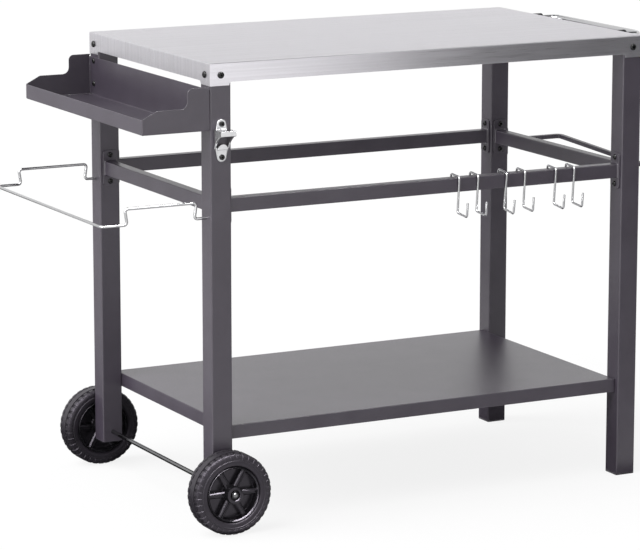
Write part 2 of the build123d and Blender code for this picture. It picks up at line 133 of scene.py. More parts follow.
def grained_finish(name, colours, roughness, scale, relief, rub_and_highlight, constants):
    """A finish with a fine grain: colours are its dark, its light and its edges, which are paler for wear and
    for a painted highlight.

    Relief is the height and strength of the grain; the radius and gain after it set the width and strength of
    those paler edges.
    """
    finish, tree, sockets = new_finish(name, constants)
    dark, light, worn_and_highlit = colours
    place = put(tree, "ShaderNodeTexCoord").outputs["Object"]
    grain = put(tree, "ShaderNodeGroup", {"Vector": place, "Scale": scale}, node_tree=fine_grain).outputs
    edge_wear_and_highlight = dict(zip(("Radius", "Gain"), rub_and_highlight))
    edge = put(tree, "ShaderNodeGroup", edge_wear_and_highlight, node_tree=worn_and_highlit_edges).outputs["Edge"]
    # Edges go towards the last colour: wear, and a painted highlight along each edge and corner
    colour = mixed(tree, edge, mixed(tree, grain["Mottle"], dark, light), worn_and_highlit)
    low, high = roughness
    rough = put(tree, "ShaderNodeMapRange", {"Value": grain["Grain"], "To Min": low, "To Max": high})
    height, strength = relief
    bump = put(tree, "ShaderNodeBump", {"Height": grain["Grain"], "Distance": height, "Strength": strength})
    tree.links.new(colour, sockets["Base Color"])
    tree.links.new(rough.outputs["Result"], sockets["Roughness"])
    tree.links.new(bump.outputs["Normal"], sockets["Normal"])
    return finish


def block(shape, low, high):
    """Add a box between two corners and return its vertices."""
    place = Matrix.Translation((low + high) / 2) @ Matrix.Diagonal((*(high - low), 1))
    verts = bmesh.ops.create_cube(shape, size=1, matrix=place)["verts"]
    shape.normal_update()
    return verts


def rounded(shape, geom, radius, steps, affect="EDGES"):
    """Round some edges, or some corners of flat sheets."""
    bmesh.ops.bevel(
        shape, geom=geom, offset=radius, offset_type="OFFSET", segments=steps,
        profile=0.5, affect=affect, material=-1,
    )
    shape.normal_update()


def edges_along(edges, axis):
    """Those edges that run along one axis."""
    return [
        edge for edge in edges
        if abs((edge.verts[0].co - edge.verts[1].co).normalized()[axis]) > along_limit
    ]


def open_tube(low, high, axis, corner):
    """A rounded square tube along an axis, open at both ends."""
    shape = bmesh.new()
    block(shape, low, high)
    ends = [face for face in shape.faces if abs(face.normal[axis]) > facing_limit]
    bmesh.ops.delete(shape, geom=ends, context="FACES_ONLY")
    rounded(shape, edges_along(shape.edges, axis), corner, corner_steps)
    return shape


def as_mesh(name, shape):
    """Turn a finished shape into a mesh."""
    mesh = bpy.data.meshes.new(name)
    shape.to_mesh(mesh)
    shape.free()
    return mesh


def add_object(name, data):
    """Put a mesh, a lamp or a camera into the scene."""
    added = bpy.data.objects.new(name, data)
    bpy.context.scene.collection.objects.link(added)
    return added


def add_piece(name, shape, finish, slot, body, *nodes, sharp=40):
    """Make a shape a piece that rides on a body and stands for its nodes."""
    mesh = as_mesh(name, shape)
    mesh.shade_smooth()
    mesh.set_sharp_from_angle(angle=radians(sharp))
    mesh.materials.append(finish)
    piece = add_object(name, mesh)
    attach(piece, body)
    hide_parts(*nodes)
    return piece


def soften(piece, width):
    """Break the sharp edges of a piece and keep its flats flat."""
    broken = piece.modifiers.new("broken_edges", "BEVEL")
    broken.width = width
    broken.segments = edge_steps
    broken.limit_method = "ANGLE"
    broken.angle_limit = radians(40)
    piece.modifiers.new("flat_faces", "WEIGHTED_NORMAL").keep_sharp = True


def give_wall(piece, thickness, edge):
    """Give a sheet or a tube its thickness, inwards, and break its edges."""
    wall = piece.modifiers.new("wall", "SOLIDIFY")
    wall.thickness = thickness
    wall.offset = -1
    soften(piece, edge)


powder_coat = grained_finish(
    "charcoal_powder_coat", (coat_dark, coat_light, coat_thin_and_highlit), roughness=(0.3, 0.42), scale=900.0,
    relief=(0.0003, 0.25), rub_and_highlight=(0.0015, 1.5), constants={"Specular IOR Level": 0.8},
)
legs = {}
for end in ("left", "right"):
    for side in ("front", "back"):
        node = f"leg_{side}_{end}"
        legs[side, end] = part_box(node)
        tube = open_tube(*legs[side, end], 2, leg_corner)
        leg = add_piece(f"{side}_{end}_leg", tube, powder_coat, "frame_coat", "frame", node)
        give_wall(leg, leg_wall, leg_edge)

# Leg ends: black moulded plastic, a flat flange with a hollow stub pushed into the tube.
# The right legs stand on theirs, the left ones only close the tube beside the wheels.
stub_clearance = 0.0002
stub_wall = 0.002
flange_edge = 0.0008
plastic_dark = (0.008, 0.0078, 0.009, 1)
plastic_light = (0.013, 0.0125, 0.0145, 1)
# Edge colour of the plastic: wear, and a painted highlight along its edges
plastic_worn_and_highlit = (0.05, 0.05, 0.053, 1)
violet_gloss = (0.94, 0.86, 1, 1)
black_plastic = grained_finish(
    "black_moulded_plastic", (plastic_dark, plastic_light, plastic_worn_and_highlit), roughness=(0.14, 0.26),
    scale=1400.0, relief=(0.0002, 0.2), rub_and_highlight=(0.0008, 1.2),
    constants={"Specular IOR Level": 0.5, "Specular Tint": violet_gloss},
)


def of_kind(kind, geom):
    """The vertices, the edges or the faces out of what an operator gives back."""
    return [item for item in geom if isinstance(item, kind)]


def drawn_out(shape, faces, move):
    """Extrude faces, move them on and return what is new."""
    grown = bmesh.ops.extrude_face_region(shape, geom=faces)["geom"]
    bmesh.ops.translate(shape, vec=move, verts=of_kind(BMVert, grown))
    return grown


def rounded_block(shape, low, high, axis, radius, steps):
    """Add a box with its four edges along an axis rounded."""
    verts = block(shape, low, high)
    rounded(shape, edges_along({edge for vert in verts for edge in vert.link_edges}, axis), radius, steps)


def leg_end(leg_low, leg_high, bottom, top):
    """One flange under a leg, with its stub up inside the tube."""
    shape = bmesh.new()
    low = Vector((leg_low.x, leg_low.y, bottom))
    high = Vector((leg_high.x, leg_high.y, leg_low.z))
    rounded_block(shape, low, high, 2, leg_corner, corner_steps)
    roof = max(shape.faces, key=lambda face: (face.calc_center_median().z, face.calc_area()))
    floor = min(shape.faces, key=lambda face: face.normal.z)
    rounded(shape, list(floor.edges), flange_edge, edge_steps)
    for step, rise in ((leg_wall + stub_clearance, top - leg_low.z), (stub_wall, leg_low.z - top)):
        bmesh.ops.inset_region(shape, faces=[roof], thickness=step, use_even_offset=True)
        grown = drawn_out(shape, [roof], (0, 0, rise))
        bmesh.ops.delete(shape, geom=[roof], context="FACES_ONLY")
        roof = of_kind(BMFace, grown)[0]
    return shape


for node, end in (("foot_caps", "right"), ("leg_plugs", "left")):
    low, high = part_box(node)
    shape = bmesh.new()
    for side in ("front", "back"):
        shape.from_mesh(as_mesh(node, leg_end(*legs[side, end], low.z, high.z)))
    add_piece(f"{end}_leg_ends", shape, black_plastic, "black_plastic", "frame", node)

# Rails: rectangular steel tube with a plate welded on each end, coated like the legs.
# Each plate sits on a leg's inner face and takes two screws.
rail_depth = 0.020
rail_height = 0.025
rail_corner = 0.002
plate_thickness = 0.0025
plate_corner = 0.006
plate_steps = 5
plate_edge = 0.0004
weld_size = 0.0022
weld_ripple = 0.00025
weld_cuts = 9
# Shares of the weld's size: how far along the tube, and how far up its plate
weld_hollow = (0.55, 0.25)
weld_toe = (0.45, 0.75)


def grow_loop(shape, edges, move, stretch=(1, 1, 1), centre=Vector((0, 0, 0))):
    """Extrude a loop of edges, move it on and stretch it about a centre; returns the new loop."""
    geom = bmesh.ops.extrude_edge_only(shape, edges=edges)["geom"]
    verts = of_kind(BMVert, geom)
    bmesh.ops.scale(shape, vec=stretch, space=Matrix.Translation(-centre), verts=verts)
    bmesh.ops.translate(shape, vec=move, verts=verts)
    fresh = set(verts)
    return [edge for edge in of_kind(BMEdge, geom) if fresh.issuperset(edge.verts)]


def open_edges(shape):
    """The edges that have a face on one side only."""
    return [edge for edge in shape.edges if edge.is_boundary]


def open_end(shape, outward, centre):
    """The open edges at one end of a tube."""
    return [edge for edge in open_edges(shape) if (edge.verts[0].co - centre).dot(outward) > 0]


def weld(shape, outward, centre):
    """A rippled fillet of weld metal from the end of a tube out to its plate."""
    loop = open_end(shape, outward, centre)
    longest = max(edge.calc_length() for edge in loop)
    sides = [edge for edge in loop if edge.calc_length() > longest / 2]
    bmesh.ops.subdivide_edges(shape, edges=sides, cuts=weld_cuts)
    loop = open_end(shape, outward, centre)
    across = Vector([1 - abs(part) for part in outward])
    for reach, rise in (weld_hollow, weld_toe):
        stretch = Vector((1, 1, 1))
        for axis in range(3):
            if across[axis]:
                half = max(abs(vert.co[axis] - centre[axis]) for edge in loop for vert in edge.verts)
                stretch[axis] = (half + rise * weld_size) / half
        loop = grow_loop(shape, loop, outward * weld_size * reach, stretch, centre)
        if (reach, rise) == weld_hollow:
            crest = sorted({vert for edge in loop for vert in edge.verts}, key=lambda vert: tuple(vert.co))
            for vert in crest[::2]:
                vert.co += ((vert.co - centre) * across).normalized() * weld_ripple


def rail(name, node, axis):
    """One rail along an axis, between two legs."""
    low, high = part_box(node)
    centre = (low + high) / 2
    half = Vector((0, 0, rail_height / 2))
    half[1 - axis] = rail_depth / 2
    half[axis] = (high - low)[axis] / 2 - plate_thickness - weld_size
    shape = open_tube(centre - half, centre + half, axis, rail_corner)
    for end in (-1, 1):
        outward = Vector((0, 0, 0))
        outward[axis] = end
        weld(shape, outward, centre)
    for end in (low, high):
        plate_low, plate_high = low.copy(), high.copy()
        inner = plate_high if end is low else plate_low
        inner[axis] = end[axis] + copysign(plate_thickness, centre[axis] - end[axis])
        rounded_block(shape, plate_low, plate_high, axis, plate_corner, plate_steps)
    piece = add_piece(name, shape, powder_coat, "frame_coat", "frame", node)
    soften(piece, plate_edge)


for side, axis in (("front", 0), ("back", 0), ("left", 1), ("right", 1)):
    rail(f"{side}_rail", f"rail_{side}", axis)

# Shelf: one steel sheet with its four edges folded down, coated like the frame.
# It lies between the legs and is screwed to them through its end folds.
shelf_sheet = 0.0012
shelf_fold = 0.0016
fold_steps = 3
sheet_edge = 0.0003


def folded_box(low, high, fold):
    """A sheet folded down on all four sides of a box."""
    shape = bmesh.new()
    block(shape, low, high)
    open_side = [face for face in shape.faces if face.normal.z < -facing_limit]
    bmesh.ops.delete(shape, geom=open_side, context="FACES_ONLY")
    rounded(shape, [edge for edge in shape.edges if not edge.is_boundary], fold, fold_steps)
    return shape


shape = folded_box(*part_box("shelf"), shelf_fold)
shelf = add_piece("shelf_sheet", shape, powder_coat, "frame_coat", "frame", "shelf")
give_wall(shelf, shelf_sheet, sheet_edge)

# Worktop: stainless sheet, brushed lengthwise before it was folded, so the marks run down the end skirts.
# A skirt hangs on all sides, with a deeper tab over each leg for its screw.
top_sheet = 0.001
top_fold = 0.0015
skirt_height = 0.032
tab_width = 0.036
tab_corner = 0.005
tab_steps = 5
skirt_lean = 0.7
level_limit = 1e-6
steel_dark = (0.71, 0.694, 0.728, 1)
steel_light = (0.797, 0.78, 0.819, 1)
steel_gloss = {"Metallic": 1.0, "Anisotropic": 0.55, "Anisotropic Rotation": 0.25}
steel_roughness = {"To Min": 0.26, "To Max": 0.4}
mark_relief = {"Distance": 0.00003, "Strength": 0.4}
mark_length = 9.0
mark_fineness = 1800.0
band_share = 0.12

brush_marks, given, result = new_group(
    "brush_marks", {"Vector": "Vector", "Length": "Float", "Fineness": "Float"},
    {"Marks": "Float", "Bands": "Float"},
)
for output, share in (("Marks", 1.0), ("Bands", band_share)):
    along = reckoned(brush_marks, "MULTIPLY", given["Length"], share)
    across = reckoned(brush_marks, "MULTIPLY", given["Fineness"], share)
    scale = put(brush_marks, "ShaderNodeCombineXYZ", {"X": along, "Y": across}).outputs[0]
    drawn = put(brush_marks, "ShaderNodeVectorMath", {0: given["Vector"], 1: scale}, operation="MULTIPLY")
    noise = stretched_noise(brush_marks, drawn.outputs[0], scale=1.0, detail=3.0)
    brush_marks.links.new(noise, result[output])

stainless, tree, sockets = new_finish("brushed_stainless", steel_gloss)
unfolded = put(tree, "ShaderNodeUVMap", uv_map="sheet").outputs["UV"]
marks = put(
    tree, "ShaderNodeGroup", {"Vector": unfolded, "Length": mark_length, "Fineness": mark_fineness},
    node_tree=brush_marks,
).outputs
rough = put(tree, "ShaderNodeMapRange", {"Value": marks["Marks"], **steel_roughness})
scratch = put(tree, "ShaderNodeBump", {"Height": marks["Marks"], **mark_relief})
tree.links.new(mixed(tree, marks["Bands"], steel_dark, steel_light), sockets["Base Color"])
tree.links.new(rough.outputs["Result"], sockets["Roughness"])
tree.links.new(scratch.outputs["Normal"], sockets["Normal"])
lengthwise = put(tree, "ShaderNodeTangent", direction_type="UV_MAP", uv_map="sheet")
tree.links.new(lengthwise.outputs["Tangent"], sockets["Tangent"])


def all_of(shape):
    """Every vertex, edge and face of a shape."""
    return shape.verts[:] + shape.edges[:] + shape.faces[:]


top_low, top_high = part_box("worktop")
skirt_end = top_high.z - skirt_height
shape = folded_box(top_low, top_high, top_fold)
inner_low = top_low + Vector((tab_width, tab_width, 0))
inner_high = top_high - Vector((tab_width, tab_width, 0))
cuts = [((0, 0, skirt_end), (0, 0, 1))]
cuts += [(corner, normal) for corner in (inner_low, inner_high) for normal in ((1, 0, 0), (0, 1, 0))]
for spot, normal in cuts:
    bmesh.ops.bisect_plane(shape, geom=all_of(shape), plane_co=spot, plane_no=normal)
spare = []
for face in shape.faces:
    middle = face.calc_center_median()
    between = inner_low.x < middle.x < inner_high.x or inner_low.y < middle.y < inner_high.y
    if middle.z < skirt_end and between:
        spare.append(face)
bmesh.ops.delete(shape, geom=spare, context="FACES")
bmesh.ops.dissolve_limit(shape, angle_limit=radians(1), verts=shape.verts[:], edges=shape.edges[:])
notch_corners = [vert for vert in shape.verts if abs(vert.co.z - skirt_end) < level_limit]
rounded(shape, notch_corners, tab_corner, tab_steps, "VERTICES")
sheet_map = shape.loops.layers.uv.new("sheet")
for face in shape.faces:
    for loop in face.loops:
        along, across, height = loop.vert.co
        if abs(face.normal.x) > skirt_lean:
            along += copysign(top_high.z - height, face.normal.x)
        elif abs(face.normal.y) > skirt_lean:
            across += copysign(top_high.z - height, face.normal.y)
        loop[sheet_map].uv = (along, across)
worktop = add_piece("worktop_sheet", shape, stainless, "stainless", "frame", "worktop")
give_wall(worktop, top_sheet, sheet_edge)

# Screws: button heads with a hexagon socket, black oxide, in rivet nuts inside the legs.
# M6 holds the worktop and the handle, M5 the rails, shelf, tray, opener and towel bar.
top_screw = 0.006
frame_screw = 0.005
screw_reach = 0.011
handle_screw_reach = 0.045
head_width_ratio = 1.95
head_height_ratio = 0.55
key_sides = 6
key_ratio = 0.6
key_depth_ratio = 0.3
key_rim_ratio = 1.2
crown_ratio = 1.35
dome_foot = 0.3
head_sides = 24
dome_steps = 5
oxide_dark = (0.006, 0.006, 0.0063, 1)
oxide_light = (0.012, 0.012, 0.0125, 1)
# Edge colour of the screws: wear, and a painted highlight along their edges
oxide_worn_and_highlit = (0.08, 0.08, 0.082, 1)
black_oxide = grained_finish(
    "black_oxide", (oxide_dark, oxide_light, oxide_worn_and_highlit), roughness=(0.08, 0.16), scale=2600.0,
    relief=(0.00008, 0.2), rub_and_highlight=(0.0004, 1.0), constants={"Specular IOR Level": 0.35},
)


def button_screw(diameter, reach):
    """A screw along Z with its head standing on the XY plane, as a mesh to copy."""
    shape = bmesh.new()
    head_radius = diameter * head_width_ratio / 2
    head_height = diameter * head_height_ratio
    key_radius = diameter * key_ratio / 2
    floor = Matrix.Translation((0, 0, head_height - diameter * key_depth_ratio))
    bmesh.ops.create_circle(shape, cap_ends=True, segments=key_sides, radius=key_radius, matrix=floor)
    rim = grow_loop(shape, shape.edges[:], (0, 0, diameter * key_depth_ratio))
    radius, height = key_radius * key_rim_ratio, head_height
    top = Matrix.Translation((0, 0, height))
    crown = bmesh.ops.create_circle(shape, segments=head_sides, radius=radius, matrix=top)["verts"]
    loop = list({edge for vert in crown for edge in vert.link_edges})
    bmesh.ops.bridge_loops(shape, edges=rim + loop)
    flat = key_radius * crown_ratio
    outline = [(flat, head_height)]
    for step in range(1, dome_steps + 1):
        turn = step * pi / 2 / dome_steps
        rise = dome_foot + (1 - dome_foot) * cos(turn)
        outline.append((flat + (head_radius - flat) * sin(turn), head_height * rise))
    outline += [(head_radius, 0.0), (diameter / 2, 0.0), (diameter / 2, -reach)]
    for next_radius, next_height in outline:
        grown = next_radius / radius
        loop = grow_loop(shape, loop, (0, 0, next_height - height), (grown, grown, 1))
        radius, height = next_radius, next_height
    bmesh.ops.contextual_create(shape, geom=loop)
    bmesh.ops.recalc_face_normals(shape, faces=shape.faces[:])
    return as_mesh("button_screw", shape)


def standing(spot, outward):
    """The matrix that stands a shape on a spot with its Z axis pointing outward."""
    return Matrix.Translation(spot) @ Vector(outward).to_track_quat("Z", "Y").to_matrix().to_4x4()


def screw_set(name, node, screw, spots):
    """A group of like screws; a spot is a point under a head and the way that the head faces."""
    shape = bmesh.new()
    for spot, outward in spots:
        place = standing(spot, outward)
        screw.transform(place)
        shape.from_mesh(screw)
        screw.transform(place.inverted())
    add_piece(name, shape, black_oxide, "black_screw", "frame", node, sharp=35)


def two_levels(node, diameter):
    """The heights of the lower and the upper screws of a group."""
    low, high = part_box(node)
    radius = diameter * head_width_ratio / 2
    return (low.z + radius, high.z - radius)


def leg_spot(side, end, axis, outer, stack, height):
    """A spot on one face of a leg, standing off by what lies under the screw's head."""
    low, high = legs[side, end]
    away = outer * (-1 if (end if axis == 0 else side) in ("left", "front") else 1)
    spot = (low + high) / 2
    spot.z = height
    spot[axis] = (high if away > 0 else low)[axis] + away * stack
    outward = Vector((0, 0, 0))
    outward[axis] = away
    return spot, outward


m6_screw = button_screw(top_screw, screw_reach)
m6_long_screw = button_screw(top_screw, handle_screw_reach)
m5_screw = button_screw(frame_screw, screw_reach)
top_level = sum(two_levels("worktop_screws", top_screw)) / 2
screw_set("worktop_screw_set", "worktop_screws", m6_screw, [
    leg_spot(*leg, axis, 1, top_sheet, top_level) for leg in legs for axis in (0, 1)
])
screw_set("rail_screw_set", "rail_screws", m5_screw, [
    leg_spot(*leg, axis, -1, plate_thickness, height)
    for leg in legs for axis in (0, 1) for height in two_levels("rail_screws", frame_screw)
])
shelf_screw_level = sum(two_levels("shelf_screws", frame_screw)) / 2
screw_set("shelf_screw_set", "shelf_screws", m5_screw, [
    leg_spot(*leg, 0, -1, shelf_sheet, shelf_screw_level) for leg in legs
])

# Rivet nuts: zinc-plated threaded sleeves squeezed into the walls of the legs.
# They hide inside the tubes, so their imported shapes stay and only get a plated finish.
# The last zinc colour is for the edges: wear, and a painted highlight
zinc_tones = ((0.5, 0.5, 0.52, 1), (0.6, 0.6, 0.61, 1), (0.68, 0.68, 0.69, 1))
bare_metal = {"Metallic": 1.0}
zinc = grained_finish(
    "zinc_plate", zinc_tones, roughness=(0.3, 0.45), scale=1800.0,
    relief=(0.0001, 0.2), rub_and_highlight=(0.0004, 1.0), constants=bare_metal,
)
for node in ("worktop_rivet_nuts", "frame_rivet_nuts"):
    for material_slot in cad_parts[node].material_slots:
        material_slot.material = zinc

# Axle: one plain steel rod through both left legs, with a washer between each leg and its wheel.
# A hexagon nut in the nose of each wheel holds it; the rod's ends stop flush with the noses.
chamfer_steps = 1
axle_chamfer = 0.0008
washer_chamfer = 0.0003
nut_sides = 6
nut_across_flats = 0.013
nut_radius = nut_across_flats / 2 / cos(pi / nut_sides)
nut_long_edge = nut_across_flats / 3
nut_chamfer = 0.0009
nut_height = 0.0065
bore_steps = 24
round_steps = 48
ridge_angle = 60
# The last colour of the axle's steel is for the edges: wear, and a painted highlight
axle_tones = ((0.16, 0.16, 0.165, 1), (0.22, 0.22, 0.225, 1), (0.36, 0.36, 0.36, 1))
# The nut's steel is far darker than the rod's: painted shade for the deep pocket in the wheel's nose that it
# sits in. Its last colour is for the edges: wear, and a painted highlight
pocket_shaded_nut_tones = ((0.03, 0.03, 0.032, 1), (0.05, 0.05, 0.053, 1), (0.2, 0.2, 0.2, 1))
axle_steel = grained_finish(
    "axle_steel", axle_tones, roughness=(0.07, 0.14), scale=900.0,
    relief=(0.0001, 0.12), rub_and_highlight=(0.0005, 1.0), constants=bare_metal,
)
pocket_shaded_nut = grained_finish(
    "pocket_shaded_nut_steel", pocket_shaded_nut_tones, roughness=(0.16, 0.28), scale=900.0,
    relief=(0.0001, 0.12), rub_and_highlight=(0.0005, 1.0), constants=bare_metal,
)


def turn_profile(shape, profile, centre, outward, steps):
    """Turn a closed profile of (along, radius) points about an axis."""
    sideways = outward.orthogonal().normalized()
    verts = [shape.verts.new(centre + outward * along + sideways * radius) for along, radius in profile]
    edges = [shape.edges.new((verts[index - 1], verts[index])) for index in range(len(verts))]
    bmesh.ops.spin(
        shape, geom=verts + edges, cent=centre, axis=outward, angle=2 * pi, steps=steps, use_merge=True
    )
    bmesh.ops.recalc_face_normals(shape, faces=shape.faces[:])


axle_low, axle_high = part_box("axle")
axle_middle = (axle_low + axle_high) / 2
axle_radius = (axle_high.z - axle_low.z) / 2
shape = bmesh.new()
lengthways = Matrix.Translation(axle_middle) @ Matrix.Rotation(pi / 2, 4, "X")
bmesh.ops.create_cone(
    shape, cap_ends=True, segments=round_steps, radius1=axle_radius, radius2=axle_radius,
    depth=axle_high.y - axle_low.y, matrix=lengthways,
)
ends = [face for face in shape.faces if len(face.verts) > 4]
rounded(shape, [edge for face in ends for edge in face.edges], axle_chamfer, chamfer_steps)
add_piece("axle_rod", shape, axle_steel, "axle_steel", "frame", "axle")

wheel_sides = (("front", Vector((0, -1, 0))), ("back", Vector((0, 1, 0))))
washer_low, washer_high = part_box("axle_washers")
washer_radius = (washer_high.z - washer_low.z) / 2
inside, outside = legs["back", "left"][1].y, washer_high.y
washer_profile = [
    (inside, axle_radius), (inside, washer_radius - washer_chamfer),
    (inside + washer_chamfer, washer_radius), (outside - washer_chamfer, washer_radius),
    (outside, washer_radius - washer_chamfer), (outside, axle_radius),
]
shape = bmesh.new()
for side, outward in wheel_sides:
    turn_profile(shape, washer_profile, axle_middle, outward, round_steps)
add_piece("axle_washer_pair", shape, axle_steel, "axle_steel", "frame", "axle_washers")

nut_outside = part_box("axle_nuts")[1].y
shape = bmesh.new()
for side, outward in wheel_sides:
    for height in (nut_outside - nut_height, nut_outside):
        place = standing(axle_middle + outward * height, outward)
        hexagon = bmesh.ops.create_circle(shape, segments=nut_sides, radius=nut_radius, matrix=place)["verts"]
        bore = bmesh.ops.create_circle(shape, segments=bore_steps, radius=axle_radius, matrix=place)["verts"]
        rims = {edge for vert in hexagon + bore for edge in vert.link_edges}
        bmesh.ops.bridge_loops(shape, edges=list(rims))
    loose = open_edges(shape)
    flats = [edge for edge in loose if edge.calc_length() > nut_long_edge]
    bores = [edge for edge in loose if edge.calc_length() < nut_long_edge]
    for loops in (flats, bores):
        bmesh.ops.bridge_loops(shape, edges=loops)
bmesh.ops.recalc_face_normals(shape, faces=shape.faces[:])
corners = [
    edge for edge in shape.edges
    if edge.calc_length() > nut_long_edge and not edges_along([edge], 1)
    and edge.calc_face_angle(0) > radians(ridge_angle)
]
rounded(shape, corners, nut_chamfer, edge_steps)
add_piece("axle_nut_pair", shape, pocket_shaded_nut, "axle_steel", "frame", "axle_nuts")

# Wheel centres: black plastic mouldings with a rim, a thin web, six ribs a side and a nose.
# Each rib has chamfered edges and a groove along its crest, between two ridges.
rim_half = 0.018
rim_wall = 0.004
rim_lip = 0.0011
rim_draft = 0.0006
web_half = 0.002
web_round = 0.0012
rib_count = 6
rib_width = 0.0105
rib_ridge = 0.003
rib_groove = 0.0016
rib_recess = 0.005
rib_chamfer = 0.002
rib_taper = 0.86
nose_radius = 0.015
nose_round = 0.0024
nut_pocket_depth = 0.0078
nut_pocket_room = 0.0012
rim_steps = 72


def highest(shape):
    """The topmost face of a shape."""
    return max(shape.faces, key=lambda face: face.calc_center_median().z)


def wheel_rib(start, end, height):
    """One rib along X, tapered towards the rim, on the XY plane."""
    rib = bmesh.new()
    block(rib, Vector((start, -rib_width / 2, 0)), Vector((end, rib_width / 2, height)))
    tip = [vert for vert in rib.verts if vert.co.x > (start + end) / 2]
    bmesh.ops.scale(rib, vec=(1, rib_taper, 1), verts=tip)
    rounded(rib, edges_along(highest(rib).edges, 0), rib_chamfer, chamfer_steps)
    crest = highest(rib)
    bmesh.ops.inset_region(rib, faces=[crest], thickness=rib_ridge - rib_chamfer, use_even_offset=True)
    drawn_out(rib, [crest], (0, 0, -rib_groove))
    bmesh.ops.delete(rib, geom=[crest], context="FACES_ONLY")
    return rib


for side, outward in wheel_sides:
    tyre_low, tyre_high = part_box(f"{side}_tyre")
    hub_low, hub_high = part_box(f"{side}_hub")
    middle = (tyre_low + tyre_high) / 2
    nose_end = max(abs(hub_low.y - middle.y), abs(hub_high.y - middle.y))
    boss_end = (hub_high.y - hub_low.y) - nose_end
    rim_radius = (hub_high.z - hub_low.z) / 2
    pocket_radius = nut_radius + nut_pocket_room
    bed = rim_radius - rim_wall
    rim_side = [
        (web_half, bed - rim_draft - web_round), (web_half + web_round, bed - rim_draft),
        (rim_half - rim_lip, bed), (rim_half, bed + rim_lip),
        (rim_half + rim_lip, bed + rim_wall / 2), (rim_half, rim_radius - rim_lip),
        (rim_half - rim_lip, rim_radius),
    ]
    nose_side = [
        (nose_end - nut_pocket_depth, axle_radius), (nose_end - nut_pocket_depth, pocket_radius),
        (nose_end - nose_round / 2, pocket_radius), (nose_end, pocket_radius + nose_round / 2),
        (nose_end, nose_radius - nose_round), (nose_end - nose_round / 3, nose_radius - nose_round / 3),
        (nose_end - nose_round, nose_radius), (web_half + web_round, nose_radius + web_round / 2),
        (web_half, nose_radius + web_round * 1.5),
    ]
    boss_side = [
        (-web_half, nose_radius + web_round * 1.5), (-web_half - web_round, nose_radius + web_round / 2),
        (nose_round - boss_end, nose_radius), (-boss_end, nose_radius - nose_round), (-boss_end, axle_radius),
    ]
    inner_rim = [(-along, radius) for along, radius in reversed(rim_side)]
    shape = bmesh.new()
    turn_profile(shape, nose_side + rim_side + inner_rim + boss_side, middle, outward, rim_steps)
    for face_side in (-1, 1):
        for index in range(rib_count):
            rib = wheel_rib(nose_radius - rim_lip, bed + rim_lip, rim_half - rib_recess)
            turn = Matrix.Rotation(index * 2 * pi / rib_count, 4, "Z")
            facing = Matrix.Rotation(pi / 2 * outward.y * -face_side, 4, "X")
            bmesh.ops.transform(rib, matrix=Matrix.Translation(middle) @ facing @ turn, verts=rib.verts[:])
            shape.from_mesh(as_mesh("rib", rib))
    name, body, node = f"{side}_wheel_centre", f"{side}_wheel", f"{side}_hub"
    add_piece(name, shape, black_plastic, "black_plastic", body, node, sharp=35)

# Tyres: solid black rubber, moulded with a plain middle band, two grooves and notched shoulders.
# One pitch of the tread is drawn out of its section and repeated round the wheel.
tread_pitches = 36
block_share = 0.57
slope_share = 0.06
# How far the points of a shoulder sink in a notch, towards the axle and towards the tyre's middle
notch_depths = (
    (0.0024, 0), (0.0024, 0), (0.0022, 0), (0.0006, 0.0003), (0.0004, 0.0006), (0, 0.0007), (0, 0.0004),
)
band_half = 0.0065
groove_slope = 0.0005
groove_width = 0.0022
groove_depth = 0.0026
lug_flat = 0.0085
shoulder_radius = 0.007
shoulder_steps = 3
